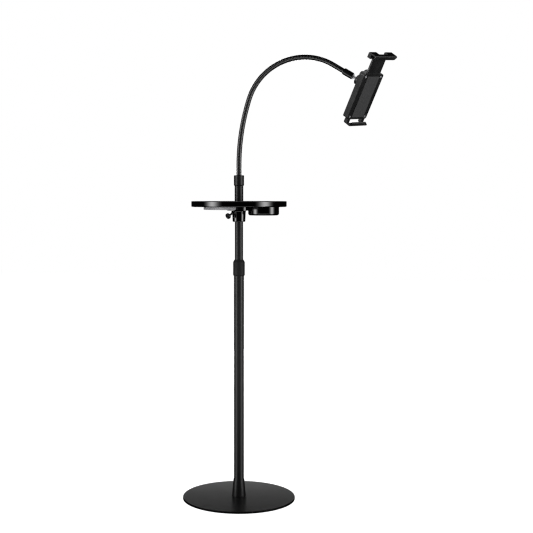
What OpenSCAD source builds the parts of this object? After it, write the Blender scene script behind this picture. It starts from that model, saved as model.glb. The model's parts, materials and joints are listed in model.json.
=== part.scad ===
// Floor stand for a tablet: a weighted disc, a telescopic pole with a twist lock, a round tray
// with a cup well, a bendable ribbed neck, and a clamp with a sliding jaw on a ball joint.
// Millimetres, +Z up. The origin is on the floor under the pole, and the neck bends towards +X.

/* [Base] */
// Diameter of the weighted disc
base_d = 280; // [220:1:340]
// Thickness of the weighted disc
base_t = 4.8; // [4.6:0.1:10]
// Rounding of the disc's top edge
base_edge = 1.5; // [0.5:0.1:2]
// Thickness of the anti-slip pad under the disc
pad_t = 1.2; // [0.8:0.1:3]
// How far the pad's rim stays inside the disc's rim
pad_inset = 5; // [2:0.5:12]
// Diameter of the bolt that holds the pole on the disc
bolt_d = 8; // [6:0.5:10]
// Diameter of the bolt's countersunk head
bolt_head_d = 15.8; // [13:0.2:18]
// Height of the bolt's countersunk head
bolt_head_h = 4; // [3:0.1:4.2]
// How far the bolt reaches up into the pole
bolt_reach = 22; // [15:1:24]
// Size across the corners of the hexagon socket in the bolt
bolt_socket_d = 5.8; // [4:0.1:6]
// Depth of the hexagon socket
bolt_socket_depth = 2.4; // [1:0.1:3]
// Height of the threaded plug in the foot of the pole
foot_plug_h = 26; // [25:1:40]

/* [Foot cover] */
// Diameter of the cover on the disc
foot_d = 34.5; // [32:0.5:48]
// Diameter of the cover under its top chamfer
foot_top_d = 28; // [27:0.5:31]
// Height of the cover
foot_h = 44; // [25:1:70]
// Height of the cover's straight rim
foot_rim = 2; // [1:0.5:6]
// Height of the cover's top chamfer
foot_chamfer = 5; // [2:0.5:8]
// Wall left at the top of the cover
foot_lip = 0.5; // [0.3:0.1:0.8]

/* [Lower pole] */
// Outer diameter of the lower tube
lower_d = 25; // [24.6:0.1:26]
// Wall of the lower tube
lower_wall = 1.3; // [1.1:0.1:1.4]
// Length of the lower tube
lower_len = 566; // [450:1:700]

/* [Height lock] */
// Outer diameter of the twist collar
collar_d = 29; // [28.4:0.1:34]
// Length of the twist collar
collar_h = 40; // [36:0.5:60]
// How far the collar reaches down over the lower tube
collar_grip = 14; // [8:0.5:16]
// Height of the taper at the collar's top
collar_taper_h = 6; // [3:0.5:6.5]
// Diameter of the collar's top
collar_top_d = 22.4; // [22:0.1:24]
// Chamfer at the collar's lower end
collar_chamfer = 1.2; // [0.4:0.1:1.5]
// How far the collet reaches down into the lower tube
collet_in = 32; // [20:1:60]
// Thickness of the collet's flange on the tube's end
collet_flange = 3; // [2:0.5:4]
// Length of the collet's fingers
finger_h = 16; // [10:0.5:16]
// Step from the tube's radius in to the fingers
finger_step = 0.4; // [0.2:0.1:0.6]
// Taper of the fingers' radius over their length
finger_taper = 0.7; // [0.3:0.1:0.9]
// Width of the slots between the fingers
finger_slot = 1.6; // [1:0.1:3]

/* [Upper pole] */
// Outer diameter of the upper tube
upper_d = 20.4; // [19.8:0.1:20.8]
// Wall of the upper tube
upper_wall = 1.2; // [0.9:0.1:1.8]
// Length of the upper tube
upper_len = 562; // [500:1:640]
// How far the upper tube reaches down inside the lower tube
upper_in = 342; // [250:1:400]
// Height of the guide bush on the upper tube's lower end
guide_h = 20; // [10:1:40]
// Diameter of the sleeve round the top of the upper tube
sleeve_d = 21.6; // [21.2:0.1:22.2]
// Length of that sleeve
sleeve_len = 56; // [45:1:56.5]

/* [Tray] */
// Diameter of the tray
tray_d = 236; // [210:1:300]
// Height of the tray's rim
tray_h = 14; // [9:0.5:24]
// Wall and floor of the tray
tray_wall = 3; // [2.4:0.1:4]
// Rounding of the tray's lower edge
tray_edge = 2.5; // [1:0.1:4]
// Distance from the upper tube's top down to the tray's underside
tray_drop = 63; // [62:1:90]
// Diameter of the raised ring round the pole
tray_ring_d = 34; // [28:1:38]
// Height of the raised ring over the tray's floor
tray_ring_h = 2; // [0.5:0.5:2]
// Heading of the cup well round the pole
tray_heading = 12.5; // [-180:0.5:180]
// Diameter of the half-round pan under the tray
pan_d = 175; // [150:1:200]
// Distance from the pole's axis to the pan's straight side
pan_clear = 7; // [4:0.5:8]
// Height of the pan
pan_h = 7; // [5:0.5:12]
// Sheet thickness of the pan
pan_wall = 1.5; // [1:0.1:2.5]
// Radius of the circle of tray screws
screw_circle_r = 70; // [60:1:72]
// Angle from the cup well round to the nearer tray screws
screw_near = 105; // [103:1:115]
// Angle from the cup well round to the farther tray screws
screw_far = 150; // [135:1:160]
// Diameter of a tray screw
screw_d = 3.8; // [3:0.1:5]
// Diameter of a tray screw's countersunk head
screw_head_d = 7; // [6:0.1:7.8]
// Height of a tray screw's head
screw_head_h = 1.7; // [1:0.1:3]
// Diameter of the posts that the screws pass through
post_d = 9; // [8.2:0.1:12]
// Free depth kept under the tray floor's face over a screw
screw_skin = 0.7; // [0.5:0.1:1.2]

/* [Cup well] */
// Inner diameter of the cup well
cup_d = 72.5; // [66:0.5:76]
// Wall of the cup well
cup_wall = 2; // [1.5:0.1:3]
// Distance from the pole to the well's centre
cup_off = 61; // [60:0.5:66]
// How far the well hangs below the tray's underside
cup_drop = 21; // [15:0.5:40]
// Rounding of the well's lower edge
cup_edge = 5; // [2.5:0.5:8]
// Width of the well's rim on the tray floor
cup_rim = 3; // [1.5:0.5:3]
// Thickness of the well's rim
cup_rim_t = 1.5; // [1:0.1:2.5]

/* [Tray hub] */
// Height of the hub under the pan
hub_h = 30; // [29:0.5:45]
// Diameter of the hub at its lower end
hub_d = 31.6; // [30.5:0.1:33]
// Diameter of the hub's neck, which meets the tray
hub_top_d = 34; // [33:0.1:35]
// Diameter of the hub's flange under the pan
flange_d = 58; // [48:1:70]
// Thickness of that flange
flange_t = 2.2; // [1.5:0.1:4]
// Fillet between the hub and its flange
hub_fillet = 3; // [1:0.5:4]
// Rounding of the hub's lower edge
hub_edge = 2; // [0.5:0.1:2.4]
// Outer diameter of the split bush in the hub
bush_d = 24; // [23:0.1:25]
// Height of the lip that carries the bush
bush_seat = 3; // [2:0.5:5]
// Width of the bush's slit
bush_slit = 2; // [1:0.5:4]
// Heading of the thumb screw round the pole
thumb_heading = 234; // [180:0.5:240]
// How far the thumb screw slopes down
thumb_slope = 25; // [20:1:28]
// Height over the pan's underside at which the thumb screw's axis crosses the pole's
thumb_rise = 0.8; // [0:0.1:3]
// Diameter of the thumb screw's stem
thumb_d = 5; // [4:0.1:6]
// Diameter of the boss round the thumb screw
thumb_boss_d = 12; // [10:0.5:14]
// Reach of that boss from the pole's axis, along the screw
thumb_boss_reach = 21.5; // [20.5:0.5:26]
// Reach of the tip from the pole's axis, along the screw
thumb_tip = 15.1; // [14.9:0.1:16.5]
// Length of bare stem between the boss and the knob
thumb_bare = 14; // [3:0.5:20]
// Diameter of the thumb screw's knob
thumb_knob_d = 14.5; // [10:0.5:20]
// Thickness of the thumb screw's knob
thumb_knob_t = 6; // [4:0.5:10]
// Depth of the dish in the knob's face
thumb_dish = 1.5; // [0.5:0.1:2.5]

/* [Neck mount] */
// Diameter of the clamp cap at the neck's root
cap_d = 25.2; // [24.4:0.1:30]
// Height of the clamp cap
cap_h = 26.5; // [22:0.5:40]
// How far the cap reaches down over the sleeve
cap_grip = 11.5; // [6:0.5:14]
// Height of the cap's lower chamfer
cap_chamfer = 2.5; // [1:0.1:4]
// Rounding of the cap's top edge
cap_edge = 0.8; // [0.3:0.1:1.5]
// Length of the plug's stem in the upper tube
plug_in = 30; // [15:1:60]
// Thickness of the plug's flange
plug_flange = 3.5; // [2:0.1:5]
// Length of the plug's spigot in the neck
plug_spigot = 9; // [5:0.5:12]

/* [Neck] */
// Diameter over the neck's ribs
neck_d = 12.7; // [11.6:0.1:14]
// Diameter in the grooves between the ribs
groove_d = 11.4; // [9.9:0.1:12.4]
// Bore of the neck
neck_bore = 8; // [6:0.1:8.4]
// Radial width of the flat end of each jointed stretch
end_land = 0.6; // [0.4:0.1:1]
// Nominal distance from rib to rib
rib_pitch = 3.7; // [3.2:0.1:5]
// Flat width on each rib, as a share of the pitch
rib_flat = 0.42; // [0.2:0.01:0.5]
// Width of each rib at its root, as a share of the pitch
rib_root = 0.9; // [0.8:0.01:0.94]
// Straight length over the cap
neck_lead = 24; // [14:0.5:60]
// Bend radius of the neck's lower stretch
low_r = 530; // [400:5:900]
// Turn of the lower stretch
low_turn = 18; // [8:0.5:20]
// Bend radius of the neck's upper stretch
high_r = 141; // [130:0.5:220]
// Turn of the upper stretch
high_turn = 103.5; // [60:0.5:106]
// Straight length from the last bend to the ball's centre
neck_tail = 78.5; // [76:0.5:140]

/* [Ball joint] */
// Diameter of the end ferrule
ferrule_d = 17.2; // [16:0.1:20]
// Length of the ferrule
ferrule_len = 24; // [18:0.5:28]
// End wall of the ferrule
ferrule_wall = 6; // [4:0.5:9]
// Distance from the ferrule's end to the ball's centre
stud_len = 24; // [22:0.5:30]
// Diameter of the ball
ball_d = 18; // [17:0.1:19]
// Diameter of the stud
stud_d = 7; // [5:0.1:7.4]
// Size across the corners of the stud's hexagon
stud_hex_d = 13.5; // [11:0.1:14]
// Thickness of the stud's hexagon
stud_hex_t = 3; // [2:0.5:4]
// Diameter of the slit socket round the ball
socket_d = 22; // [21.4:0.1:23]
// Diameter of the socket's flange on the housing
socket_flange_d = 28; // [26:0.5:30]
// Thickness of the socket's flange
socket_flange_t = 3.5; // [2.5:0.1:4.5]
// How far the socket reaches past the ball's centre
socket_lip = 3; // [2:0.1:3.4]
// Width of the socket's slits
socket_slit = 1.6; // [1:0.1:2.5]
// Diameter of the ring nut
nut_d = 29; // [27.6:0.1:30]
// Length of the ring nut on the housing's side of the ball
nut_front = 6; // [3:0.5:7]
// Length of the ring nut on the neck's side of the ball
nut_rear = 9; // [8:0.5:11]
// Height of the ring nut's throat over the ball
nut_throat = 1.5; // [1:0.1:2]
// Diameter of the pivot that the clamp turns on
pivot_d = 12; // [10:0.1:13]
// Diameter of the swivel bolt
swivel_d = 5; // [4:0.1:6]
// Diameter of the swivel bolt's head
swivel_head_d = 9; // [7.5:0.1:11]
// Height of the swivel bolt's head
swivel_head_h = 2.2; // [1.5:0.1:2.4]
// Diameter of the swivel washer
washer_d = 17; // [15:0.1:18]
// Thickness of the swivel washer
washer_t = 1.2; // [1:0.1:1.4]
// Number of finger grooves round the ring nut and the knobs
grip_n = 12; // [6:1:16]
// Radius of a finger groove
grip_r = 1.6; // [0.8:0.1:2.4]

/* [Clamp] */
// Heading of the clamp's face
clamp_heading = -34; // [-60:0.5:0]
// How far the clamp's face looks down
clamp_pitch = 33; // [10:0.5:50]
// Roll of the clamp about its own face
clamp_roll = 4.9; // [-45:0.1:45]
// Distance from the ball's centre to the housing's back
socket_reach = 15; // [15:0.5:20]
// Width of the housing
body_w = 66; // [60:1:80]
// Height of the housing
body_h = 122; // [120:1:135]
// Depth of the housing behind its cover
body_t = 14; // [13.5:0.5:18]
// Corner radius of the housing
body_corner = 6; // [4:0.5:10]
// Back wall of the housing
body_wall = 4; // [3.5:0.1:4.5]
// Floor left under the arm's channel
body_floor = 6; // [5:0.5:9]
// Thickness of the front cover
cover_t = 2; // [1.8:0.1:3]
// Thickness of the soft pads
soft_t = 1.5; // [1:0.1:3]
// Distance from the swivel down to the lower jaw's pad
seat_drop = 93.25; // [92:0.25:105]
// Opening between the jaws' pads
jaw_open = 178; // [170:0.5:205]
// Depth of the slot behind the jaws' lips
slot_t = 9; // [8.5:0.5:14]
// Thickness of the jaws' lips
lip_t = 3.5; // [2.5:0.1:5]
// Width of the sliding arm
arm_w = 44; // [36:0.5:46]
// Thickness of the sliding arm
arm_t = 4.5; // [3.5:0.1:4.6]
// Length of arm inside the housing
arm_in = 71; // [60:1:72]
// How far the arm is let into the upper jaw
arm_seat = 6; // [4:0.5:7]

/* [Jaws] */
// Width of the upper jaw
upper_jaw_w = 74; // [66:1:84]
// Width of each limb of the upper jaw
upper_limb_w = 21.5; // [17:0.5:26]
// How far the upper jaw's limbs reach down behind the tablet
apron_h = 11; // [9:0.5:14]
// Width of the lower jaw
lower_jaw_w = 58; // [56:1:62]
// Width of each limb of the lower jaw
lower_limb_w = 9; // [8:0.5:12]
// Height of the lower jaw's limbs under the housing
lug_h = 8.5; // [7:0.5:12]
// Thickness of the jaws' floors
jaw_t = 3.2; // [2.6:0.1:6]
// Wall of the jaws behind the arm
jaw_wall = 3; // [2:0.5:6]
// Distance from the tablet's back forwards to the jaws' floors
floor_in = 2; // [0:0.5:4]
// How far the lips overlap the tablet
lip_over = 6; // [4:0.5:9]
// Chamfer at the ends of the lips
lip_chamfer = 7; // [2:0.5:8]
// Rounding of the jaws' long edges
jaw_edge = 2; // [0.5:0.1:2.4]
// Width of the jaws' soft pads
jaw_pad_w = 48; // [30:1:50]
// Diameter of the small clamp screws
clamp_screw_d = 3; // [2.5:0.1:3.5]
// Diameter of the small clamp screws' heads
clamp_screw_head_d = 5.6; // [5:0.1:6.5]
// Length of the small clamp screws
clamp_screw_len = 9; // [7:0.5:10]
// Thickness of the lower jaw under a screw's head
jaw_screw_seat = 5; // [3:0.5:7]
// Distance of the cover screws from the housing's edges
cover_screw_in = 7.5; // [5.5:0.1:9]

/* [Lock knob] */
// Distance from the swivel up to the lock knob
knob_rise = 25; // [24.6:0.1:27]
// Diameter of the lock knob
knob_d = 18; // [14:0.5:18.5]
// Thickness of the lock knob
knob_t = 9; // [6:0.5:11]
// Gap between the knob and the housing's back
knob_stand = 3; // [1:0.5:5]
// Diameter of the lock knob's screw
knob_screw_d = 5; // [4:0.1:6]

/* [Fits] */
// Radial clearance of a piece that turns or slides on another
run_fit = 0.06; // [0.03:0.01:0.1]
// Radial clearance of a piece fixed in another
press_fit = 0.03; // [0.01:0.01:0.05]
// Free gap between pieces that move past each other
free_gap = 0.4; // [0.3:0.05:0.5]
// Gap between two stretches of the neck, at its bore
bend_gap = 0.8; // [0.75:0.05:0.9]

/* [Hidden] */
$fn = 96;
// Overshoot of a cut
cut = 1;
// Counts of the neck's jointed stretches
low_n = 3;
high_n = 12;
// Slots in a collet or a socket
slot_n = 4;
// How far the ribs' flanks reach into the core
rib_sink = 0.3;

satin_black = "#1b1b1c";
gloss_black = "#101011";
rubber_black = "#242426";
satin_grey = "#9a9c9f";
bright_steel = "#b9bbbe";

// Heights of the stack, from the floor up
z_disc = pad_t;
z_foot = z_disc + base_t;
z_lock = z_foot + lower_len;
z_collar = z_lock - collar_grip;
z_upper = z_lock - upper_in;
z_top = z_upper + upper_len;
z_tray = z_top - tray_drop;
z_pan = z_tray - pan_h;
z_hub = z_pan - hub_h;
z_cap = z_top - cap_grip;
z_root = z_top + free_gap + plug_flange;
z_neck = z_cap + cap_h + neck_lead;

lower_id = lower_d - 2 * lower_wall;
upper_id = upper_d - 2 * upper_wall;
cup_od = cup_d + 2 * cup_wall;

// A place on the neck is [x, z, lean from upright]
function along_arc(p, r, turn) = [
  p[0] + r * (cos(p[2]) - cos(p[2] + turn)),
  p[1] + r * (sin(p[2] + turn) - sin(p[2])),
  p[2] + turn
];
function low_place(i) = along_arc([0, z_neck, 0], low_r, i * low_turn / low_n);
function high_place(i) = along_arc(low_place(low_n), high_r, i * high_turn / high_n);
function arc_len(r, turn) = r * turn * PI / 180;
function rib_count(len) = max(2, round(len / rib_pitch));

tail_place = high_place(high_n);
ball_place = [
  tail_place[0] + neck_tail * sin(tail_place[2]),
  0,
  tail_place[1] + neck_tail * cos(tail_place[2])
];
z_ferrule = neck_tail - stud_len - ferrule_len;
tail_hose = neck_tail - stud_len - ferrule_wall;

// Depths in the clamp, from the ball's centre forwards
x_back = socket_reach;
x_arm = x_back + body_t - arm_t - free_gap;
x_cover = x_back + body_t;
x_face = x_cover + cover_t + soft_t;
x_lip = x_face + slot_t;
x_front = x_lip + lip_t;
x_jaw = x_arm - jaw_wall;
x_limb = x_cover + cover_t;
x_floor = x_face + floor_in;
// Heights in the clamp, from the swivel up
low_seat = -seat_drop;
high_seat = low_seat + jaw_open;
low_base = low_seat - soft_t;
high_base = high_seat + soft_t;
lip_top = lip_over + soft_t;
body_low = low_base + lug_h;
body_high = body_low + body_h;
arm_high = high_base - apron_h + arm_seat;
cover_screw_y = body_w / 2 - cover_screw_in;
jaw_screw_y = (lower_jaw_w - lower_limb_w) / 2;
jaw_screw_in = body_floor - 2 * cut;

low_names = [for (i = [1:low_n]) str("neck_low_", i)];
high_names = [for (i = [1:high_n]) str("neck_high_", i)];

// Shared shapes

module ring(od, id, h) {
  difference() {
    cylinder(d = od, h = h);
    translate([0, 0, -cut]) cylinder(d = id, h = h + 2 * cut);
  }
}

// Half section of a round body whose lower outer edge is rounded
module round_foot(r, h, edge) {
  square([r - edge, h]);
  translate([0, edge]) square([r, h - edge]);
  translate([r - edge, edge]) circle(edge);
}

module rounded_rect(w, h, r) {
  translate([r - w / 2, 0]) square([w - 2 * r, h]);
  translate([-w / 2, r]) square([w, h - 2 * r]);
  for (side = [-1, 1], z = [r, h - r]) translate([side * (w / 2 - r), z]) circle(r);
}

// Places an outline drawn in the clamp's width and height, and gives it depth
module deep(from, to) {
  translate([from, 0, 0]) rotate([90, 0, 90]) linear_extrude(to - from) children();
}

// Places an outline drawn in the clamp's depth and height, and gives it width
module wide(w) {
  translate([0, w / 2, 0]) rotate([90, 0, 0]) linear_extrude(w) children();
}

module along_x() rotate([0, 90, 0]) children();

module grip_grooves(d, h) {
  for (i = [1:grip_n])
    rotate(i * 360 / grip_n)
      translate([d / 2 + grip_r / 2, 0, -cut]) cylinder(r = grip_r, h = h + 2 * cut);
}

// Frames

module on_tray() rotate(tray_heading) children();

module on_thumb() {
  translate([0, 0, z_pan + thumb_rise]) rotate([0, 90 + thumb_slope, thumb_heading]) children();
}

module on_neck(place) translate([place[0], 0, place[1]]) rotate([0, place[2], 0]) children();

module on_clamp() translate(ball_place) rotate([clamp_roll, clamp_pitch, clamp_heading]) children();

// Base and pole

module base_pad() {
  color(rubber_black) cylinder(d = base_d - 2 * pad_inset, h = pad_t);
}

module base_disc() {
  color(satin_black)
    translate([0, 0, z_disc]) difference() {
      rotate_extrude() {
        square([base_d / 2 - base_edge, base_t]);
        square([base_d / 2, base_t - base_edge]);
        translate([base_d / 2 - base_edge, base_t - base_edge]) circle(base_edge);
      }
      translate([0, 0, -cut]) cylinder(d = bolt_d + 2 * free_gap, h = base_t + 2 * cut);
      cylinder(d1 = bolt_head_d + 2 * free_gap, d2 = bolt_d + 2 * free_gap, h = bolt_head_h);
      translate([0, 0, -cut]) cylinder(d = bolt_head_d + 2 * free_gap, h = cut);
    }
}

module base_bolt() {
  color(bright_steel)
    translate([0, 0, z_disc]) difference() {
      union() {
        cylinder(d1 = bolt_head_d, d2 = bolt_d, h = bolt_head_h);
        cylinder(d = bolt_d, h = base_t + bolt_reach);
      }
      translate([0, 0, -cut]) cylinder(d = bolt_socket_d, h = bolt_socket_depth + cut, $fn = 6);
    }
}

module foot_plug() {
  color(bright_steel)
    translate([0, 0, z_foot]) ring(lower_id - 2 * press_fit, bolt_d + 2 * press_fit, foot_plug_h);
}

module foot_cover() {
  inner = lower_d / 2 + free_gap / 2;
  color(satin_black)
    translate([0, 0, z_foot]) rotate_extrude() polygon([
      [inner, 0], [foot_d / 2, 0], [foot_d / 2, foot_rim],
      [foot_top_d / 2, foot_h - foot_chamfer], [inner + foot_lip, foot_h], [inner, foot_h]
    ]);
}

module lower_pole() {
  color(satin_black) translate([0, 0, z_foot]) ring(lower_d, lower_id, lower_len);
}

module collet() {
  color(rubber_black)
    translate([0, 0, z_lock]) difference() {
      union() {
        translate([0, 0, -collet_in]) cylinder(d = lower_id - 2 * press_fit, h = collet_in + cut);
        cylinder(d = lower_d, h = collet_flange);
        translate([0, 0, collet_flange]) cylinder(
          d1 = lower_d - 2 * finger_step,
          d2 = lower_d - 2 * (finger_step + finger_taper),
          h = finger_h
        );
      }
      translate([0, 0, -collet_in - cut])
        cylinder(d = upper_d + 2 * run_fit, h = collet_in + collet_flange + finger_h + 2 * cut);
      for (i = [1:slot_n])
        rotate(i * 360 / slot_n)
          translate([0, -finger_slot / 2, collet_flange + finger_slot])
            cube([lower_d, finger_slot, finger_h]);
    }
}

module lock_collar() {
  bore = lower_d / 2 + run_fit;
  throat = upper_d / 2 + free_gap;
  outer = collar_d / 2;
  cone_low = collar_grip + collet_flange;
  cone_high = cone_low + finger_h + free_gap;
  cone_r = lower_d / 2 - finger_step + free_gap;
  color(rubber_black)
    translate([0, 0, z_collar]) rotate_extrude() polygon([
      [bore, 0], [outer - collar_chamfer, 0], [outer, 2 * collar_chamfer],
      [outer, collar_h - collar_taper_h], [collar_top_d / 2, collar_h], [throat, collar_h],
      [throat, cone_high], [cone_r - finger_taper, cone_high], [cone_r, cone_low], [bore, cone_low]
    ]);
}

module upper_pole() {
  color(satin_black) translate([0, 0, z_upper]) ring(upper_d, upper_id, upper_len);
}

module guide_bush() {
  color(rubber_black)
    translate([0, 0, z_upper]) ring(lower_id - 2 * run_fit, upper_d + 2 * press_fit, guide_h);
}

module pole_sleeve() {
  color(satin_black)
    translate([0, 0, z_top - sleeve_len]) ring(sleeve_d, upper_d + 2 * press_fit, sleeve_len);
}

// Tray

module tray_bush() {
  h = hub_h + pan_h - bush_seat - free_gap;
  color(rubber_black)
    translate([0, 0, z_hub + bush_seat]) difference() {
      ring(bush_d, upper_d + 2 * run_fit, h);
      rotate(thumb_heading + 180)
        translate([0, -bush_slit / 2, -cut]) cube([bush_d, bush_slit, h + 2 * cut]);
    }
}

module tray_screw_places() {
  for (side = [-1, 1], turn = [screw_near, screw_far])
    rotate(tray_heading + side * turn) translate([screw_circle_r, 0, 0]) children();
}

module tray() {
  color(gloss_black) difference() {
    translate([0, 0, z_tray]) rotate_extrude() difference() {
      union() {
        round_foot(tray_d / 2, tray_h - tray_wall / 2, tray_edge);
        translate([tray_d / 2 - tray_wall / 2, tray_h - tray_wall / 2]) circle(tray_wall / 2);
      }
      translate([tray_ring_d / 2, tray_wall])
        round_foot(tray_d / 2 - tray_wall - tray_ring_d / 2, tray_h, tray_edge);
      translate([0, tray_wall + tray_ring_h]) square([tray_ring_d, tray_h]);
      square([upper_d / 2 + free_gap, tray_h]);
    }
    on_tray() translate([cup_off, 0, z_tray - cut])
      cylinder(d = cup_od + free_gap, h = tray_wall + 2 * cut);
    tray_screw_places() translate([0, 0, z_tray - cut])
      cylinder(d = screw_d + 2 * press_fit, h = tray_wall - screw_skin + cut);
  }
}

// Half disc on the side away from the cup well, cut out round the hub's neck
module pan_outline(wall) {
  difference() {
    intersection() {
      circle(pan_d / 2 - wall);
      on_tray() translate([-pan_d, -pan_d / 2]) square([pan_d - pan_clear - wall, pan_d]);
    }
    circle(hub_top_d / 2 + free_gap + wall);
  }
}

module tray_pan() {
  color(satin_grey)
    translate([0, 0, z_pan]) difference() {
      union() {
        difference() {
          linear_extrude(pan_h) pan_outline(0);
          translate([0, 0, pan_wall]) linear_extrude(pan_h) pan_outline(pan_wall);
        }
        tray_screw_places() cylinder(d = post_d, h = pan_h);
      }
      tray_screw_places() {
        translate([0, 0, -cut]) cylinder(d = screw_d + 2 * free_gap, h = pan_h + 2 * cut);
        cylinder(d1 = screw_head_d + 2 * free_gap, d2 = screw_d + 2 * free_gap, h = screw_head_h);
      }
    }
}

module tray_screws() {
  color(bright_steel)
    tray_screw_places() translate([0, 0, z_pan]) {
      cylinder(d = screw_d, h = pan_h + tray_wall - screw_skin - press_fit);
      cylinder(d1 = screw_head_d, d2 = screw_d, h = screw_head_h);
    }
}

module tray_hub() {
  top_r = hub_top_d / 2;
  tall = hub_h + pan_h;
  flange_low = hub_h - flange_t;
  color(gloss_black) difference() {
    union() {
      translate([0, 0, z_hub]) rotate_extrude() {
        round_foot(hub_d / 2, 2 * hub_edge, hub_edge);
        polygon([[0, hub_edge], [hub_d / 2, hub_edge], [top_r, flange_low], [top_r, tall], [0, tall]]);
        translate([0, flange_low]) square([flange_d / 2, flange_t]);
        difference() {
          translate([0, flange_low - hub_fillet]) square([top_r + hub_fillet, hub_fillet]);
          translate([top_r + hub_fillet, flange_low - hub_fillet]) circle(hub_fillet);
        }
      }
      intersection() {
        on_thumb() cylinder(d = thumb_boss_d, h = thumb_boss_reach);
        translate([0, 0, z_hub]) cylinder(d = 2 * thumb_boss_reach, h = hub_h);
      }
    }
    on_tray() translate([cup_off, 0, z_hub]) cylinder(d = cup_od + 2 * free_gap, h = tall);
    translate([0, 0, z_hub - cut]) cylinder(d = upper_d + 2 * free_gap, h = tall + 2 * cut);
    translate([0, 0, z_hub + bush_seat]) cylinder(d = bush_d + 2 * run_fit, h = tall);
    on_thumb() cylinder(d = thumb_d + 2 * run_fit, h = thumb_boss_reach + cut);
  }
}

module cup_well() {
  floor_z = -cup_drop;
  rim_z = tray_wall;
  color(gloss_black)
    on_tray() translate([cup_off, 0, z_tray]) rotate_extrude() {
      difference() {
        translate([0, floor_z]) round_foot(cup_od / 2, cup_drop + rim_z, cup_edge);
        translate([0, floor_z + cup_wall])
          round_foot(cup_d / 2, cup_drop + rim_z, cup_edge - cup_wall);
      }
      translate([cup_d / 2, rim_z]) square([cup_wall + cup_rim, cup_rim_t]);
    }
}

module thumb_screw() {
  knob = thumb_boss_reach + thumb_bare;
  color(satin_black)
    on_thumb() difference() {
      union() {
        translate([0, 0, thumb_tip]) cylinder(d = thumb_d, h = knob - thumb_tip + cut);
        translate([0, 0, knob]) rotate_extrude() {
          round_foot(thumb_knob_d / 2, thumb_knob_t - thumb_dish, thumb_dish);
          translate([0, thumb_knob_t - thumb_dish])
            square([thumb_knob_d / 2 - thumb_dish, thumb_dish]);
          translate([thumb_knob_d / 2 - thumb_dish, thumb_knob_t - thumb_dish]) circle(thumb_dish);
        }
      }
      translate([0, 0, knob + thumb_knob_t - thumb_dish / 2])
        cylinder(d1 = thumb_d, d2 = thumb_knob_d - 2 * thumb_dish, h = thumb_dish);
    }
}

// Neck

module neck_cap() {
  bore = sleeve_d / 2 + run_fit;
  seat = cap_grip + 2 * free_gap + plug_flange;
  hole = neck_d / 2 + free_gap;
  outer = cap_d / 2;
  color(satin_black)
    translate([0, 0, z_cap]) rotate_extrude() {
      polygon([
        [bore, 0], [bore + free_gap, 0], [outer, cap_chamfer], [outer, cap_h - cap_edge],
        [outer - cap_edge, cap_h], [hole, cap_h], [hole, seat], [bore, seat]
      ]);
    }
}

module neck_plug() {
  color(bright_steel) {
    translate([0, 0, z_top - plug_in])
      cylinder(d = upper_id - 2 * run_fit, h = plug_in + free_gap + cut);
    translate([0, 0, z_top + free_gap]) cylinder(d = upper_d, h = plug_flange);
    translate([0, 0, z_root - cut]) cylinder(d = neck_bore - 2 * press_fit, h = plug_spigot + cut);
  }
}

// One rib of the neck about its own middle; an open end tapers to the bore so that stretches can bend
module rib(pitch, open_low, open_high) {
  crest = pitch * rib_flat / 2;
  root = pitch * rib_root / 2;
  root_r = groove_d / 2 - rib_sink;
  open = (pitch - bend_gap) / 2;
  land = neck_bore / 2 + end_land;
  low_end = open_low ? [[0, -open], [land, -open]] : [[0, -root], [root_r, -root]];
  high_end = open_high ? [[land, open], [0, open]] : [[root_r, root], [0, root]];
  rotate_extrude() polygon(concat(
    low_end, [[neck_d / 2, -crest], [neck_d / 2, crest]], high_end
  ));
}

module straight_stretch(len, open_low, open_high) {
  n = rib_count(len);
  pitch = len / n;
  low = open_low ? pitch / 2 : 0;
  high = open_high ? len - pitch / 2 : len;
  difference() {
    union() {
      translate([0, 0, low]) cylinder(d = groove_d, h = high - low);
      for (k = [1:n])
        translate([0, 0, (k - 1 / 2) * pitch]) rib(pitch, open_low && k == 1, open_high && k == n);
    }
    translate([0, 0, -cut]) cylinder(d = neck_bore, h = len + 2 * cut);
  }
}

// Round bar along the neck's arc, between two turns of it
module arc_bar(d, r, from, to) {
  translate([r, 0, 0]) rotate([90, 0, 0]) rotate(180 - to)
    rotate_extrude(angle = to - from) translate([r, 0]) circle(d = d);
}

module bent_stretch(r, turn) {
  n = rib_count(arc_len(r, turn));
  step = turn / n;
  pitch = arc_len(r, step);
  difference() {
    union() {
      arc_bar(groove_d, r, step / 2, turn - step / 2);
      for (k = [1:n])
        on_neck(along_arc([0, 0, 0], r, (k - 1 / 2) * step)) rib(pitch, k == 1, k == n);
    }
    arc_bar(neck_bore, r, -step, turn + step);
  }
}

module neck_root() {
  color(satin_black)
    translate([0, 0, z_root]) straight_stretch(z_neck - z_root, false, true);
}

module neck_low(i) {
  color(satin_black) on_neck(low_place(i - 1)) bent_stretch(low_r, low_turn / low_n);
}

module neck_high(i) {
  color(satin_black) on_neck(high_place(i - 1)) bent_stretch(high_r, high_turn / high_n);
}

module neck_end() {
  color(satin_black) on_neck(tail_place) straight_stretch(tail_hose, true, false);
}

// Ball joint

module neck_ferrule() {
  color(satin_black)
    on_neck(tail_place) translate([0, 0, z_ferrule]) difference() {
      union() {
        cylinder(d = ferrule_d, h = ferrule_len - free_gap);
        cylinder(d = ferrule_d - 2 * free_gap, h = ferrule_len);
      }
      translate([0, 0, -cut])
        cylinder(d = neck_d + 2 * press_fit, h = ferrule_len - ferrule_wall + cut);
      cylinder(d = stud_d + 2 * run_fit, h = ferrule_len + cut);
    }
}

module ball_stud() {
  color(bright_steel)
    on_neck(tail_place) translate([0, 0, neck_tail]) {
      sphere(d = ball_d);
      translate([0, 0, free_gap - stud_len - ferrule_wall])
        cylinder(d = stud_d, h = stud_len + ferrule_wall - free_gap);
      translate([0, 0, free_gap - stud_len]) cylinder(d = stud_hex_d, h = stud_hex_t, $fn = 6);
    }
}

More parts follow.
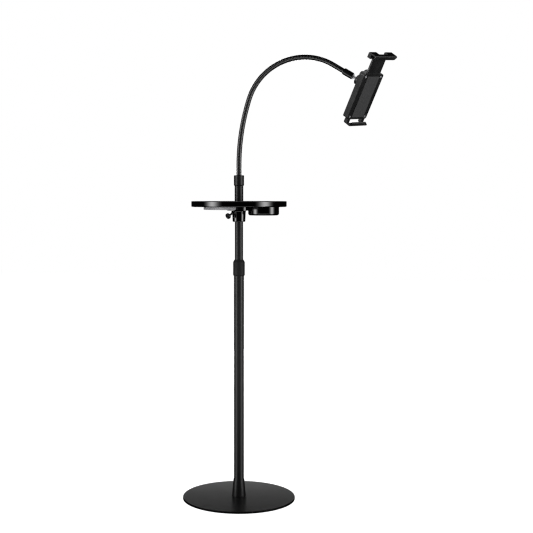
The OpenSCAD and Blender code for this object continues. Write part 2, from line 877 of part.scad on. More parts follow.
module ball_socket() {
  flange = x_back - free_gap - socket_flange_t;
  pivot_len = socket_flange_t + free_gap + body_wall + free_gap / 2;
  color(satin_black)
    on_clamp() along_x() difference() {
      union() {
        translate([0, 0, -socket_lip]) cylinder(d = socket_d, h = flange + socket_lip + cut);
        translate([0, 0, flange]) cylinder(d = socket_flange_d, h = socket_flange_t);
        translate([0, 0, flange]) cylinder(d = pivot_d, h = pivot_len);
      }
      sphere(d = ball_d + 2 * run_fit);
      for (i = [1:slot_n])
        rotate(i * 360 / slot_n)
          translate([0, -socket_slit / 2, -socket_lip - cut])
            cube([socket_d, socket_slit, 2 * socket_lip + cut]);
      translate([0, 0, flange]) cylinder(d = swivel_d + 2 * press_fit, h = pivot_len + cut);
    }
}

module swivel_bolt() {
  pivot_end = x_back + body_wall + free_gap / 2;
  color(bright_steel)
    on_clamp() along_x() {
      translate([0, 0, x_back - socket_flange_t])
        cylinder(d = swivel_d, h = pivot_end - x_back + socket_flange_t + washer_t);
      translate([0, 0, pivot_end + press_fit]) cylinder(d = washer_d, h = washer_t);
      translate([0, 0, pivot_end + press_fit]) cylinder(d = swivel_head_d, h = washer_t + swivel_head_h);
    }
}

module ring_nut() {
  lip = socket_lip + free_gap;
  throat_z = lip + nut_throat;
  bore = socket_d / 2 + run_fit;
  throat = ball_d / 2 - cut;
  color(satin_black)
    on_clamp() along_x() difference() {
      translate([0, 0, -nut_rear]) rotate_extrude() polygon([
        [bore, nut_rear + nut_front], [nut_d / 2 - free_gap, nut_rear + nut_front],
        [nut_d / 2, nut_rear + nut_front - free_gap], [nut_d / 2, free_gap],
        [nut_d / 2 - free_gap, 0], [bore + free_gap, 0], [throat, nut_rear - throat_z],
        [ball_d / 2, nut_rear - lip], [bore, nut_rear - lip]
      ]);
      translate([0, 0, -nut_rear]) grip_grooves(nut_d, nut_rear + nut_front);
    }
}

// Clamp

module body_outline() {
  translate([0, body_low]) rounded_rect(body_w, body_h, body_corner);
}

module cover_screw_places() {
  for (side = [-1, 1], z = [body_low + cover_screw_in, body_high - cover_screw_in])
    translate([x_cover + cover_t, side * cover_screw_y, z]) along_x() children();
}

module jaw_screw_places() {
  for (side = [-1, 1])
    translate([(x_jaw + x_limb) / 2, side * jaw_screw_y, body_low]) children();
}

module clamp_housing() {
  color(satin_black)
    on_clamp() difference() {
      deep(x_back, x_cover) body_outline();
      translate([x_arm - free_gap, -arm_w / 2 - free_gap, body_low + body_floor])
        cube([body_t, arm_w + 2 * free_gap, body_h]);
      along_x() cylinder(d = pivot_d + 2 * run_fit, h = x_cover);
      translate([x_back + body_wall, 0, 0]) along_x()
        cylinder(d = washer_d + 2 * free_gap, h = body_t);
      translate([0, 0, knob_rise]) along_x() cylinder(d = knob_screw_d + 2 * run_fit, h = x_cover);
      cover_screw_places() translate([0, 0, -clamp_screw_len - free_gap])
        cylinder(d = clamp_screw_d + 2 * press_fit, h = clamp_screw_len);
      jaw_screw_places() translate([0, 0, -cut])
        cylinder(d = clamp_screw_d + 2 * press_fit, h = jaw_screw_in + free_gap + cut);
    }
}

module clamp_cover() {
  color(satin_black)
    on_clamp() difference() {
      deep(x_cover, x_cover + cover_t) body_outline();
      cover_screw_places() {
        translate([0, 0, -cover_t - cut])
          cylinder(d = clamp_screw_d + 2 * free_gap, h = cover_t + 2 * cut);
        translate([0, 0, -cover_t / 2]) cylinder(
          d1 = clamp_screw_d + free_gap,
          d2 = clamp_screw_head_d + 2 * free_gap,
          h = cover_t / 2
        );
      }
    }
}

module cover_screws() {
  color(bright_steel)
    on_clamp() cover_screw_places() {
      translate([0, 0, -clamp_screw_len]) cylinder(d = clamp_screw_d, h = clamp_screw_len);
      translate([0, 0, -cover_t / 2])
        cylinder(d1 = clamp_screw_d, d2 = clamp_screw_head_d, h = cover_t / 2);
    }
}

module face_pad() {
  h = body_h - 2 * body_corner;
  color(rubber_black)
    on_clamp() deep(x_cover + cover_t, x_face)
      translate([0, body_low + body_corner])
        rounded_rect(2 * cover_screw_y - 2 * clamp_screw_head_d, h, body_corner / 2);
}

// Side profile of a jaw's floor and lip, drawn for the tablet's lower edge, from its pad's underside
module lip_profile() {
  e = jaw_edge;
  polygon([
    [x_floor, 0], [x_lip, 0], [x_lip, lip_top - e / 2], [x_lip + e / 2, lip_top], [x_front - e, lip_top],
    [x_front, lip_top - e], [x_front, e - jaw_t], [x_front - e, -jaw_t], [x_floor, -jaw_t]
  ]);
}

// Side profile of a limb, which runs back past the tablet's edge and stands up behind it
module limb_profile(reach) {
  polygon([
    [x_jaw, jaw_edge - jaw_t], [x_jaw + jaw_edge, -jaw_t], [x_lip, -jaw_t], [x_lip, 0],
    [x_limb, 0], [x_limb, reach], [x_jaw, reach]
  ]);
}

// A jaw: a lip and a floor along the tablet's edge, with a limb at each end
module jaw(w, limb_w, reach) {
  half = w / 2;
  intersection() {
    wide(w) lip_profile();
    deep(x_floor, x_front) polygon([
      [-half, -jaw_t], [half, -jaw_t], [half, lip_top - lip_chamfer], [half - lip_chamfer, lip_top],
      [lip_chamfer - half, lip_top], [-half, lip_top - lip_chamfer]
    ]);
  }
  for (side = [-1, 1]) translate([0, side * (w - limb_w) / 2, 0]) wide(limb_w) limb_profile(reach);
}

module lower_jaw() {
  tall = lug_h + jaw_t;
  color(satin_black)
    on_clamp() difference() {
      translate([0, 0, low_base]) jaw(lower_jaw_w, lower_limb_w, lug_h);
      jaw_screw_places() {
        translate([0, 0, -tall - cut])
          cylinder(d = clamp_screw_d + 2 * free_gap, h = tall + 2 * cut);
        translate([0, 0, -tall - cut])
          cylinder(d = clamp_screw_head_d + 2 * free_gap, h = tall + cut - jaw_screw_seat);
      }
    }
}

module lower_jaw_screws() {
  color(bright_steel)
    on_clamp() jaw_screw_places() {
      translate([0, 0, -jaw_screw_seat]) cylinder(d = clamp_screw_d, h = jaw_screw_seat + jaw_screw_in);
      translate([0, 0, -jaw_screw_seat - clamp_screw_d])
        cylinder(d = clamp_screw_head_d, h = clamp_screw_d);
    }
}

module jaw_pad_outline() {
  translate([x_floor, 0]) square([x_lip - x_floor - free_gap, soft_t]);
}

module lower_jaw_pad() {
  color(rubber_black)
    on_clamp() translate([0, 0, low_base]) wide(jaw_pad_w) jaw_pad_outline();
}

module jaw_arm() {
  color(satin_black)
    on_clamp() translate([x_arm, -arm_w / 2, body_high - arm_in])
      cube([arm_t, arm_w, arm_high - body_high + arm_in]);
}

module upper_jaw() {
  low = high_base - apron_h;
  color(satin_black)
    on_clamp() difference() {
      translate([0, 0, high_base]) mirror([0, 0, 1]) jaw(upper_jaw_w, upper_limb_w, apron_h);
      translate([x_arm - press_fit, -arm_w / 2 - press_fit, low - cut])
        cube([arm_t + 2 * press_fit, arm_w + 2 * press_fit, arm_seat + press_fit + cut]);
    }
}

module upper_jaw_pad() {
  color(rubber_black)
    on_clamp() translate([0, 0, high_seat]) wide(jaw_pad_w) jaw_pad_outline();
}

module lock_knob() {
  tip = x_arm - free_gap;
  head = x_back - knob_stand - knob_t;
  color(satin_black)
    on_clamp() translate([0, 0, knob_rise]) along_x() difference() {
      union() {
        translate([0, 0, head + cut]) cylinder(d = knob_screw_d, h = tip - head - cut);
        translate([0, 0, head]) cylinder(d = knob_d, h = knob_t);
        translate([0, 0, head]) cylinder(d = 2 * knob_screw_d, h = knob_t + knob_stand - free_gap);
      }
      translate([0, 0, head]) grip_grooves(knob_d, knob_t);
    }
}

base_pad();
base_disc();
base_bolt();
foot_plug();
foot_cover();
lower_pole();
collet();
lock_collar();
upper_pole();
guide_bush();
pole_sleeve();
tray_bush();
tray();
tray_pan();
tray_screws();
tray_hub();
cup_well();
thumb_screw();
neck_cap();
neck_plug();
neck_root();
for (i = [1:low_n]) neck_low(i);
for (i = [1:high_n]) neck_high(i);
neck_end();
neck_ferrule();
ball_stud();
ball_socket();
swivel_bolt();
ring_nut();
clamp_housing();
clamp_cover();
cover_screws();
face_pad();
lower_jaw();
lower_jaw_pad();
lower_jaw_screws();
jaw_arm();
upper_jaw();
upper_jaw_pad();
lock_knob();
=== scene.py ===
"""Looks of the tablet floor stand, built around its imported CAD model, in metres."""

import json
import math

import bmesh
import bpy
import numpy as np
from mathutils import Matrix, Vector

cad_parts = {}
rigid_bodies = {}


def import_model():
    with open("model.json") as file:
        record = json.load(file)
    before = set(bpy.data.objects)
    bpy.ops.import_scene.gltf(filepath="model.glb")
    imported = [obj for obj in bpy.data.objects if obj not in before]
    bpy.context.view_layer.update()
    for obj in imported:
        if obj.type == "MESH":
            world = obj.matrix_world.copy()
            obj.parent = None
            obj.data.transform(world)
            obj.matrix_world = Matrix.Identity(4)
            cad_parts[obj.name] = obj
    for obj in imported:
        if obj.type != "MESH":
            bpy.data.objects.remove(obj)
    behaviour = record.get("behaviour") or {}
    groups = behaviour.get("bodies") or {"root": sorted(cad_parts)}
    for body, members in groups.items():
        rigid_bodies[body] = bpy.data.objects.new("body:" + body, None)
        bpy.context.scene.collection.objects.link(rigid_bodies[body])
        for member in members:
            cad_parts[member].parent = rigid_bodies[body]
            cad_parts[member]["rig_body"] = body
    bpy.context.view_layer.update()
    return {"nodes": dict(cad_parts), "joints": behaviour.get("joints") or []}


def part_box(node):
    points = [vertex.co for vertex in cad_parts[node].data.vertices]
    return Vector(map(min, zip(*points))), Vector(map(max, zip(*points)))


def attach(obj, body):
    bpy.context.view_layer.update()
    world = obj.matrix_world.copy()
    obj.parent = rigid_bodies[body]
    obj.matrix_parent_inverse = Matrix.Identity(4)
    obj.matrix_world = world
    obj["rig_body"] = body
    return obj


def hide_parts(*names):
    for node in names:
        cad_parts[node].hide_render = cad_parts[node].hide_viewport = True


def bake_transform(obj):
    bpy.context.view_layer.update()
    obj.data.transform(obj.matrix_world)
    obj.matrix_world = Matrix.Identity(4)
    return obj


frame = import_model()

MM = 0.001
WHITE = (1, 1, 1, 1)

# Materials: a noise, between its low and high level, sets how light and how rough a place is

IOR = 1.5
NOISE_LOW = 0.3
NOISE_HIGH = 0.7
PATCH_DETAIL = 4
GRAIN = 0.6 * MM
GRAIN_DETAIL = 2
BLUE_CAST = 1.04


def surface(name, dark, light, smooth, rough, patch=40 * MM, relief=0.0, metal=0.0, level=0.5):
    """A procedural finish: colour and roughness vary in patches, and a fine grain stands in relief."""
    material = bpy.data.materials.new(name)
    material.use_nodes = True
    tree = material.node_tree
    shader = tree.nodes["Principled BSDF"]
    shader.inputs["Metallic"].default_value = metal
    shader.inputs["IOR"].default_value = IOR
    shader.inputs["Specular IOR Level"].default_value = level
    place = tree.nodes.new("ShaderNodeTexCoord")

    patches = tree.nodes.new("ShaderNodeTexNoise")
    patches.inputs["Scale"].default_value = 1 / patch
    patches.inputs["Detail"].default_value = PATCH_DETAIL
    tree.links.new(place.outputs["Object"], patches.inputs["Vector"])

    colour = tree.nodes.new("ShaderNodeValToRGB")
    low, high = colour.color_ramp.elements
    low.position = NOISE_LOW
    low.color = (*dark, 1)
    high.position = NOISE_HIGH
    high.color = (*light, 1)
    tree.links.new(patches.outputs["Fac"], colour.inputs["Fac"])
    tree.links.new(colour.outputs["Color"], shader.inputs["Base Color"])

    span = tree.nodes.new("ShaderNodeMapRange")
    span.inputs["From Min"].default_value = NOISE_LOW
    span.inputs["From Max"].default_value = NOISE_HIGH
    span.inputs["To Min"].default_value = smooth
    span.inputs["To Max"].default_value = rough
    tree.links.new(patches.outputs["Fac"], span.inputs["Value"])
    tree.links.new(span.outputs["Result"], shader.inputs["Roughness"])

    if relief:
        speck = tree.nodes.new("ShaderNodeTexNoise")
        speck.inputs["Scale"].default_value = 1 / GRAIN
        speck.inputs["Detail"].default_value = GRAIN_DETAIL
        tree.links.new(place.outputs["Object"], speck.inputs["Vector"])
        bump = tree.nodes.new("ShaderNodeBump")
        bump.inputs["Distance"].default_value = relief
        tree.links.new(speck.outputs["Fac"], bump.inputs["Height"])
        tree.links.new(bump.outputs["Normal"], shader.inputs["Normal"])
    return material


def grey(value):
    return (value, value, value * BLUE_CAST)


FINISHES = {
    "disc_paint": dict(dark=grey(0.001), light=grey(0.0015), smooth=0.28, rough=0.32, relief=0.01 * MM),
    # Painted shade: the rim's finish is a darker, barely reflective copy of the disc paint
    "disc_rim_painted_shade": dict(dark=grey(0.0003), light=grey(0.0006), smooth=0.5, rough=0.6, level=0.03),
    "foot_paint": dict(
        dark=grey(0.003), light=grey(0.004), smooth=0.36, rough=0.42, relief=0.01 * MM, level=0.15,
    ),
    "tube_paint": dict(
        dark=grey(0.003), light=grey(0.004), smooth=0.36, rough=0.42, relief=0.01 * MM, level=0.22,
    ),
    "neck_paint": dict(dark=grey(0.003), light=grey(0.005), smooth=0.20, rough=0.26, relief=0.005 * MM),
    "collar_plastic": dict(
        dark=grey(0.004), light=grey(0.006), smooth=0.55, rough=0.65, relief=0.04 * MM, level=0.14,
    ),
    "gloss_plastic": dict(dark=grey(0.0003), light=grey(0.0006), smooth=0.07, rough=0.10),
    "clamp_plastic": dict(dark=grey(0.003), light=grey(0.005), smooth=0.26, rough=0.33, relief=0.02 * MM),
    "rubber": dict(dark=grey(0.012), light=grey(0.017), smooth=0.75, rough=0.85, relief=0.06 * MM),
    "grey_sheet": dict(dark=grey(0.23), light=grey(0.27), smooth=0.40, rough=0.50, relief=0.01 * MM),
    "steel": dict(
        dark=grey(0.42), light=grey(0.50), smooth=0.36, rough=0.48, relief=0.01 * MM, metal=1.0,
    ),
    "floor_paper": dict(dark=grey(0.30), light=grey(0.31), smooth=0.9, rough=0.95, patch=300 * MM),
}
FINISH_OF = {
    "disc_paint": ["base_disc"],
    "foot_paint": ["foot_cover"],
    "tube_paint": ["lower_pole", "upper_pole", "pole_sleeve", "thumb_screw", "neck_cap"],
    "neck_paint": ["neck_ferrule"],
    "collar_plastic": ["collet", "lock_collar", "guide_bush", "tray_bush"],
    "gloss_plastic": ["tray", "tray_hub", "cup_well"],
    "grey_sheet": ["tray_pan"],
    "clamp_plastic": [
        "ball_socket", "ring_nut", "clamp_housing", "clamp_cover",
        "lower_jaw", "jaw_arm", "upper_jaw", "lock_knob",
    ],
    "rubber": ["base_pad", "face_pad", "lower_jaw_pad", "upper_jaw_pad"],
    "steel": [
        "base_bolt", "foot_plug", "tray_screws", "neck_plug",
        "ball_stud", "swivel_bolt", "cover_screws", "lower_jaw_screws",
    ],
}
MATERIALS = {name: surface(name, **values) for name, values in FINISHES.items()}


def finish_nodes():
    for finish, names in FINISH_OF.items():
        for name in names:
            data = frame["nodes"][name].data
            data.materials.clear()
            data.materials.append(MATERIALS[finish])


# Pieces made from the frame's own solids

MERGE = MM / 500
FLAT = math.radians(0.2)
CREASE = math.radians(40)


def add_piece(name, mesh, finish):
    piece = bpy.data.objects.new(name, mesh)
    mesh.materials.clear()
    mesh.materials.append(MATERIALS[finish])
    bpy.context.scene.collection.objects.link(piece)
    return piece


def stand_for(piece, node):
    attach(piece, frame["nodes"][node]["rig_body"])
    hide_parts(node)


def plain_form(node):
    """The solid with whole faces in place of its triangles."""
    form = bmesh.new()
    form.from_mesh(frame["nodes"][node].data)
    bmesh.ops.remove_doubles(form, verts=form.verts, dist=MERGE)
    bmesh.ops.dissolve_limit(form, angle_limit=FLAT, verts=form.verts, edges=form.edges)
    return form


def add_prism(form, corners, rise):
    """A closed prism on those corners."""
    base = form.faces.new([form.verts.new(corner) for corner in corners])
    walls = bmesh.ops.extrude_face_region(form, geom=[base])
    raised = [v for v in walls["geom"] if isinstance(v, bmesh.types.BMVert)]
    bmesh.ops.translate(form, verts=raised, vec=rise)
    bmesh.ops.recalc_face_normals(form, faces=form.faces)


def mesh_from(form, name):
    mesh = bpy.data.meshes.new(name)
    form.to_mesh(mesh)
    form.free()
    return mesh


def shade(mesh):
    """Shades the mesh smooth, apart from its creases."""
    mesh.shade_smooth()
    mesh.set_sharp_from_angle(angle=CREASE)


# Softened edges, with the width of each in millimetres

SHARP = math.radians(28)
EDGE_STEPS = 3
EDGE_OF = {
    "base_disc": 0.5, "foot_cover": 0.5, "lower_pole": 0.3, "upper_pole": 0.3, "pole_sleeve": 0.25,
    "lock_collar": 0.5, "neck_cap": 0.4, "tray_hub": 0.5, "cup_well": 0.5, "tray_pan": 0.4,
    "ring_nut": 0.4, "neck_ferrule": 0.5, "clamp_housing": 1.0, "clamp_cover": 0.6, "lower_jaw": 0.8,
    "jaw_arm": 0.6, "upper_jaw": 0.8, "lock_knob": 0.5, "face_pad": 0.5, "lower_jaw_pad": 0.4,
    "upper_jaw_pad": 0.4, "base_pad": 0.3, "ball_stud": 0.3, "ball_socket": 0.3,
}
UPRIGHT_NORMAL = 0.9


def softened(node, finish, width):
    """The solid with every sharp edge rounded to that width."""
    form = plain_form(node)
    sharp = [e for e in form.edges if len(e.link_faces) == 2 and e.calc_face_angle() > SHARP]
    bmesh.ops.bevel(
        form, geom=sharp, offset=width, offset_type="OFFSET", segments=EDGE_STEPS,
        profile=0.5, affect="EDGES", clamp_overlap=True,
    )
    bmesh.ops.dissolve_degenerate(form, dist=MERGE, edges=form.edges)
    mesh = mesh_from(form, node + "_form")
    shade(mesh)
    piece = add_piece(node + "_form", mesh, finish)
    piece.modifiers.new("flats", "WEIGHTED_NORMAL").keep_sharp = True
    stand_for(piece, node)


def soften_nodes():
    for finish, names in FINISH_OF.items():
        for name in names:
            if name in EDGE_OF:
                softened(name, finish, EDGE_OF[name] * MM)


def paint_rim_shade(piece, finish):
    """Gives that darker, barely reflective copy of the paint to the faces that look neither up nor down:
    painted shade on the rim.
    """
    piece.data.materials.append(MATERIALS[finish])
    for face in piece.data.polygons:
        if abs(face.normal.z) < UPRIGHT_NORMAL:
            face.material_index = 1


# Cross recesses in the screw heads: their sizes are shares of a head's diameter

CROSSED_SCREWS = ["cover_screws", "tray_screws", "lower_jaw_screws"]
CROSS_LONG = 0.6
CROSS_WIDE = 0.16
CROSS_DEEP = 0.22
LARGE_FACE = 0.95


def cross_cutter(heads):
    """A cross-shaped prism through the face of each head."""
    form = bmesh.new()
    for head in heads:
        across = 2 * math.sqrt(head.calc_area() / math.pi)
        tip = across * CROSS_LONG / 2
        side = across * CROSS_WIDE / 2
        deep = across * CROSS_DEEP
        seat = head.normal.to_track_quat("Z", "Y")
        middle = head.calc_center_median()
        arm = [Vector((tip, -side, -deep)), Vector((tip, side, -deep)), Vector((side, side, -deep))]
        quarters = [Matrix.Rotation(quarter * math.pi / 2, 3, "Z") for quarter in range(4)]
        corners = [turn @ point for turn in quarters for point in arm]
        add_prism(form, [middle + seat @ corner for corner in corners], 2 * deep * head.normal)
    return bpy.data.objects.new("cross_cutter", mesh_from(form, "cross_cutter"))


def cross_screws():
    """Cuts a cross into the largest faces of each node of screws, which are the screws' heads."""
    for node in CROSSED_SCREWS:
        form = plain_form(node)
        largest = max(face.calc_area() for face in form.faces)
        cutter = cross_cutter([face for face in form.faces if face.calc_area() > LARGE_FACE * largest])
        piece = add_piece(node + "_form", mesh_from(form, node + "_form"), "steel")
        bpy.context.scene.collection.objects.link(cutter)
        cut = piece.modifiers.new("cross", "BOOLEAN")
        cut.object = cutter
        cut.solver = "EXACT"
        seen = piece.evaluated_get(bpy.context.evaluated_depsgraph_get())
        crossed = bpy.data.meshes.new_from_object(seen)
        piece.modifiers.remove(cut)
        piece.data = crossed
        bpy.data.objects.remove(cutter)
        shade(crossed)
        stand_for(piece, node)


# Web that joins the hub's flange to the tray on the side of the cup well, clear of the pan and the well

FLANGE_R = 29 * MM
HUB_NECK_R = 17 * MM
WELL_R = 38.25 * MM
PAN_CLEAR = 7 * MM
WEB_GAP = 0.4 * MM
ARC_STEPS = 24


def arc(middle, radius, start, end):
    """Points on an arc about a point on the X axis, between two angles."""
    return [
        Vector((middle + radius * math.cos(angle), radius * math.sin(angle)))
        for angle in np.linspace(start, end, ARC_STEPS)
    ]


def hub_web():
    low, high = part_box("tray_pan")[0].z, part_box("tray_pan")[1].z
    well = [(a + b) / 2 for a, b in zip(*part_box("cup_well"))]
    heading = math.atan2(well[1], well[0])
    away = math.hypot(well[0], well[1])
    well_r = WELL_R + WEB_GAP
    back = WEB_GAP - PAN_CLEAR

    meet_x = (FLANGE_R ** 2 - well_r ** 2 + away ** 2) / (2 * away)
    meet = math.acos(meet_x / FLANGE_R)
    well_meet = math.pi - math.asin(FLANGE_R * math.sin(meet) / well_r)
    flange_back = math.acos(back / FLANGE_R)
    neck_back = math.acos(back / HUB_NECK_R)
    outline = arc(0, FLANGE_R, -flange_back, -meet)
    outline += arc(away, well_r, 2 * math.pi - well_meet, well_meet)[1:-1]
    outline += arc(0, FLANGE_R, meet, flange_back)
    outline += arc(0, HUB_NECK_R, neck_back, -neck_back)

    form = bmesh.new()
    turn = Matrix.Rotation(heading, 3, "Z")
    add_prism(form, [turn @ Vector((p.x, p.y, low)) for p in outline], (0, 0, high - low))
    web = add_piece("hub_web", mesh_from(form, "hub_web"), "gloss_plastic")
    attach(web, frame["nodes"]["tray_hub"]["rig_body"])


# Bendable neck: one wound hose, cut halfway between the hinges, so that each middle piece spans one hinge

NECK_ROOT = Vector((0, 0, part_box("neck_root")[0].z))
CREST_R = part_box("neck_root")[1].x
GROOVE_R = 5.7 * MM
BORE_R = 4.0 * MM
WIND_PITCH = 3.7 * MM
WIND_STEPS = 16
BORE_STEP = 4 * MM
AROUND = 40
ROUNDNESS = 0.12
SLOPE_STEP = WIND_PITCH / 1000


def neck_hinges():
    """The neck's bending joints, from its root to its tail."""
    chain = []
    body = "neck_root"
    while body != "neck_end":
        joint = next(j for j in frame["joints"] if j["parent"] == body)
        chain.append(joint)
        body = joint["child"]
    return chain


def neck_stretches(hinges):
    """The centreline in the XZ plane, as (start, lean, length, turn) for each straight or round stretch."""
    places = [Vector(hinge["pos_m"]) for hinge in hinges]
    stretches = [(NECK_ROOT, 0.0, (places[0] - NECK_ROOT).length, 0.0)]
    lean = 0.0
    for start, end in zip(places, places[1:]):
        chord = end - start
        turn = 2 * (math.atan2(chord.x, chord.z) - lean)
        stretches.append((start, lean, chord.length * (turn / 2) / math.sin(turn / 2), turn))
        lean += turn
    along = np.array([math.sin(lean), 0, math.cos(lean)])
    tail = np.array([v.co - places[-1] for v in frame["nodes"]["neck_end"].data.vertices]) @ along
    stretches.append((places[-1], lean, tail.max(), 0.0))
    return stretches


def on_neck(stretches, distance):
    """The point and lean of the centreline at that distance from the root."""
    for stretch in stretches:
        start, lean, length, turn = stretch
        if distance <= length or stretch is stretches[-1]:
            break
        distance -= length
    if turn:
        radius = length / turn
        here = lean + distance / radius
        across = radius * (math.cos(lean) - math.cos(here))
        up = radius * (math.sin(here) - math.sin(lean))
    else:
        here = lean
        across = distance * math.sin(lean)
        up = distance * math.cos(lean)
    return start + Vector((across, 0, up)), here


def wound_radius(distance, around):
    """Radius of the winding at that distance and angle."""
    turn = distance / WIND_PITCH - around / (2 * math.pi)
    swell = (0.5 - 0.5 * np.cos(2 * math.pi * turn)) ** ROUNDNESS
    return GROOVE_R + (CREST_R - GROOVE_R) * swell


def wound_slope(distance, around):
    """How fast the winding's radius grows along the hose, at that distance and angle."""
    ahead = wound_radius(distance + SLOPE_STEP, around)
    behind = wound_radius(distance - SLOPE_STEP, around)
    return (ahead - behind) / (2 * SLOPE_STEP)


def add_ring(points, normals, stretches, distance, angles, radii, slope):
    """One ring of points round the centreline, with its normals; a bore, which has no slope, faces in."""
    middle, lean = on_neck(stretches, distance)
    along = np.array([math.sin(lean), 0, math.cos(lean)])
    side = np.array([math.cos(lean), 0, -math.sin(lean)])
    out = np.outer(np.cos(angles), side) + np.outer(np.sin(angles), (0, 1, 0))
    points += [tuple(p) for p in np.array(middle) + radii[:, None] * out]
    if slope is None:
        normal = -out
    else:
        normal = out - slope[:, None] * along
    normals += [tuple(n) for n in normal / np.linalg.norm(normal, axis=1)[:, None]]


def hose_mesh(name, stretches, begin, end):
    """The stretch of hose between two distances from the root, closed, with its bore."""
    angles = np.linspace(0, 2 * math.pi, AROUND, endpoint=False)
    outer = np.linspace(begin, end, max(2, round((end - begin) / WIND_PITCH * WIND_STEPS)))
    inner = np.linspace(end, begin, max(2, round((end - begin) / BORE_STEP)))
    points, normals = [], []
    for distance in outer:
        radii = wound_radius(distance, angles)
        add_ring(points, normals, stretches, distance, angles, radii, wound_slope(distance, angles))
    for distance in inner:
        add_ring(points, normals, stretches, distance, angles, np.full(AROUND, BORE_R), None)
    rings = len(outer) + len(inner)
    faces = [
        (
            ring * AROUND + side, ring * AROUND + (side + 1) % AROUND,
            (ring + 1) % rings * AROUND + (side + 1) % AROUND, (ring + 1) % rings * AROUND + side,
        )
        for ring in range(rings) for side in range(AROUND)
    ]
    mesh = bpy.data.meshes.new(name)
    mesh.from_pydata(points, [], faces)
    mesh.shade_smooth()
    caps = {len(outer) - 1: end, rings - 1: begin}
    corners = []
    for index, face in enumerate(faces):
        ring = index // AROUND
        if ring in caps:
            lean = on_neck(stretches, caps[ring])[1]
            sign = 1 if caps[ring] == end else -1
            corners += [(sign * math.sin(lean), 0, sign * math.cos(lean))] * 4
        else:
            corners += [normals[corner] for corner in face]
    mesh.normals_split_custom_set(corners)
    return mesh


def add_hose(name, stretches, begin, end):
    return add_piece(name, hose_mesh(name, stretches, begin, end), "neck_paint")


def wound_neck():
    hinges = neck_hinges()
    stretches = neck_stretches(hinges)
    ends = np.cumsum([length for _, _, length, _ in stretches])
    cuts = [ends[0] / 2]
    cuts += [(a + b) / 2 for a, b in zip(ends, ends[1:-1])]
    cuts += [ends[-2] + stretches[-2][2] / 2]

    root = add_hose("neck_root_hose", stretches, 0, cuts[0])
    stand_for(root, "neck_root")
    for hinge, begin, end in zip(hinges, cuts, cuts[1:]):
        bend = add_hose(hinge["child"] + "_bend", stretches, begin, end)
        on_neck(stretches, begin)[0]
        on_neck(stretches, end)[0]
        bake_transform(bend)
        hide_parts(hinge["child"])
    tail = add_hose("neck_tail_hose", stretches, cuts[-1], ends[-1])
    stand_for(tail, "neck_end")


# Camera, as fitted to the photo, with its lens and sensor in millimetres

EYE = Vector((0.6325, -2.5759, 0.7571))
HEADING = math.radians(14.034)
PITCH = math.radians(2.487)
LENS = 72.3
SENSOR = 36.0
SHIFT = (0.060, -0.046)


def make_camera():
    data = bpy.data.cameras.new("camera")
    data.lens = LENS
    data.sensor_width = SENSOR
    data.shift_x, data.shift_y = SHIFT
    camera = bpy.data.objects.new("camera", data)
    camera.location = EYE
    camera.rotation_euler = (math.pi / 2 - PITCH, 0, HEADING)
    bpy.context.scene.collection.objects.link(camera)
    bpy.context.scene.camera = camera


# Studio: angles go round to the right from the camera's side of the pole, and brightness is radiance

POLE_MIDDLE = 0.75
LIGHTS = {
    "left_box": dict(angle=-66, away=2.6, size=(2.4, 2.8), brightness=9.0, spread=0.405),
    "right_box": dict(angle=63.5, away=2.6, size=(2.4, 2.8), brightness=9.0, spread=0.405),
    "top_box": dict(angle=0, away=0, height=3.2, size=(6, 6), brightness=0.8),
    "low_card": dict(angle=0, away=1.4, height=0.02, facing="up", size=(2.4, 0.9), brightness=3.0),
    "rear_box": dict(angle=180, away=0.4, height=0.0375, facing="level", size=(1.6, 0.075), brightness=0.95),
    "rear_haze": dict(angle=180, away=1.0, height=0.35, facing="level", size=(1.6, 0.7), brightness=0.06),
    "rear_fill_150": dict(angle=150, away=2.6, height=1.3, size=(1.2, 1.2), brightness=3.0),
    "rear_fill_-150": dict(angle=-150, away=2.6, height=1.3, size=(1.2, 1.2), brightness=3.0),
    "rear_strip": dict(angle=180, away=2.6, size=(0.8, 2.8), brightness=8.0),
}

# Pieces, by the start of their names, that some of the lights reach alone or leave out

JAWS = ("upper_jaw", "lower_jaw")
CLAMP = JAWS + ("clamp_", "jaw_arm", "lock_knob", "ring_nut", "ball_")
DISC = ("base_disc",)
TRAY = ("tray", "cup_well", "hub_web")
REACHES_ONLY = {"rear_box": DISC, "rear_haze": DISC, "rear_fill_150": CLAMP, "rear_fill_-150": CLAMP}
REACHES_ALL_BUT = {"top_box": JAWS + ("neck_",), "rear_strip": DISC + TRAY}

# Room and floor, and the width of the pixel filter in pixels

ROOM_GREY = 0.006
FLOOR_SIZE = 14
FLOOR_GLOW = 1.0
PIXEL_FILTER = 1.25


def toward(angle_deg, away, height):
    """A point at that angle to the right of the camera's side of the pole, seen from above."""
    angle = math.radians(angle_deg) - math.pi / 2 + HEADING
    return Vector((away * math.cos(angle), away * math.sin(angle), height))


def softbox(name, angle, away, size, brightness, height=POLE_MIDDLE, facing="pole", spread=None):
    """An area light of that radiance, which fades to its sides if a spread is given."""
    width, tall = size
    data = bpy.data.lights.new(name, "AREA")
    data.shape = "RECTANGLE"
    data.size = width
    data.size_y = tall
    data.energy = brightness * math.pi * width * tall
    if spread:
        fade_sides(data, width / spread)
    place = toward(angle, away, height)
    aims = {
        "pole": Vector((0, 0, POLE_MIDDLE)),
        "level": Vector((0, 0, height)),
        "up": place + Vector((0, 0, 1)),
    }
    light = bpy.data.objects.new(name, data)
    light.location = place
    light.rotation_mode = "QUATERNION"
    light.rotation_quaternion = (aims[facing] - place).to_track_quat("-Z", "Y")
    light.visible_camera = False
    bpy.context.scene.collection.objects.link(light)
    return light


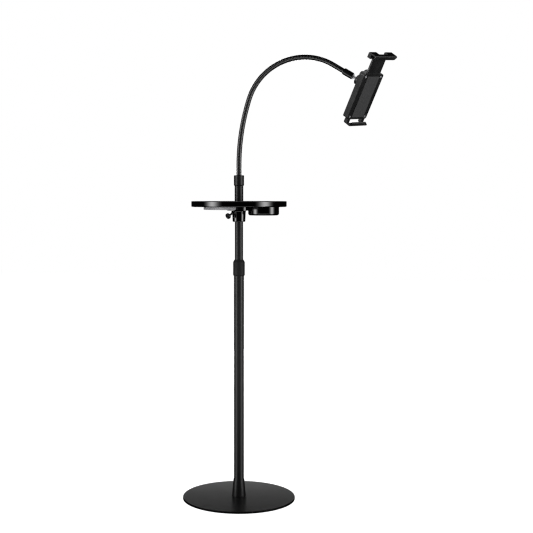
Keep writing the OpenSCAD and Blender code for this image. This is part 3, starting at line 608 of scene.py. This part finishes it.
def fade_sides(data, spreads):
    """Gives the light a bell-shaped profile across, which is that many standard spreads wide."""
    data.use_nodes = True
    tree = data.node_tree
    place = tree.nodes.new("ShaderNodeNewGeometry")
    split = tree.nodes.new("ShaderNodeSeparateXYZ")
    tree.links.new(place.outputs["Parametric"], split.inputs["Vector"])
    value = split.outputs["X"]
    bell = [("SUBTRACT", 0.5), ("MULTIPLY", spreads), ("POWER", 2), ("MULTIPLY", -0.5), ("EXPONENT", None)]
    for operation, number in bell:
        step = tree.nodes.new("ShaderNodeMath")
        step.operation = operation
        if number is not None:
            step.inputs[1].default_value = number
        tree.links.new(value, step.inputs[0])
        value = step.outputs["Value"]
    tree.links.new(value, tree.nodes["Emission"].inputs["Strength"])


def link_light(light, starts, state):
    """Lets the light reach only the pieces whose names start so (INCLUDE), or all but those (EXCLUDE)."""
    linked = bpy.data.collections.new(light.name + "_linked")
    for piece in bpy.data.objects:
        if piece.type == "MESH" and piece.name.startswith(starts):
            linked.objects.link(piece)
    for entry in linked.collection_objects:
        entry.light_linking.link_state = state
    light.light_linking.receiver_collection = linked


def make_lights():
    for name, values in LIGHTS.items():
        light = softbox(name, **values)
        if name in REACHES_ONLY:
            link_light(light, REACHES_ONLY[name], "INCLUDE")
        if name in REACHES_ALL_BUT:
            link_light(light, REACHES_ALL_BUT[name], "EXCLUDE")


def make_world():
    """A room that is white where it is looked at, and lights the stand only a little."""
    world = bpy.data.worlds.new("studio")
    bpy.context.scene.world = world
    world.use_nodes = True
    tree = world.node_tree
    tree.nodes.clear()
    path = tree.nodes.new("ShaderNodeLightPath")
    seen = tree.nodes.new("ShaderNodeBackground")
    seen.inputs["Color"].default_value = WHITE
    dim = tree.nodes.new("ShaderNodeBackground")
    dim.inputs["Color"].default_value = (ROOM_GREY, ROOM_GREY, ROOM_GREY, 1)
    mix = tree.nodes.new("ShaderNodeMixShader")
    out = tree.nodes.new("ShaderNodeOutputWorld")
    tree.links.new(path.outputs["Is Camera Ray"], mix.inputs["Fac"])
    tree.links.new(dim.outputs["Background"], mix.inputs[1])
    tree.links.new(seen.outputs["Background"], mix.inputs[2])
    tree.links.new(mix.outputs["Shader"], out.inputs["Surface"])


def make_floor():
    bpy.ops.mesh.primitive_plane_add(size=FLOOR_SIZE)
    floor = bpy.context.object
    floor.name = "floor"
    floor.visible_glossy = False
    floor.visible_diffuse = False
    floor.visible_shadow = False
    paper = MATERIALS["floor_paper"]
    shader = paper.node_tree.nodes["Principled BSDF"]
    shader.inputs["Emission Color"].default_value = WHITE
    shader.inputs["Emission Strength"].default_value = FLOOR_GLOW
    floor.data.materials.append(paper)


def make_studio():
    make_lights()
    make_world()
    make_floor()
    bpy.context.scene.view_settings.view_transform = "Standard"
    bpy.context.scene.cycles.filter_width = PIXEL_FILTER


finish_nodes()
soften_nodes()
# Painted shade: the disc's rim gets the darker copy of its paint
paint_rim_shade(bpy.data.objects["base_disc_form"], "disc_rim_painted_shade")
cross_screws()
hub_web()
wound_neck()
make_studio()
make_camera()
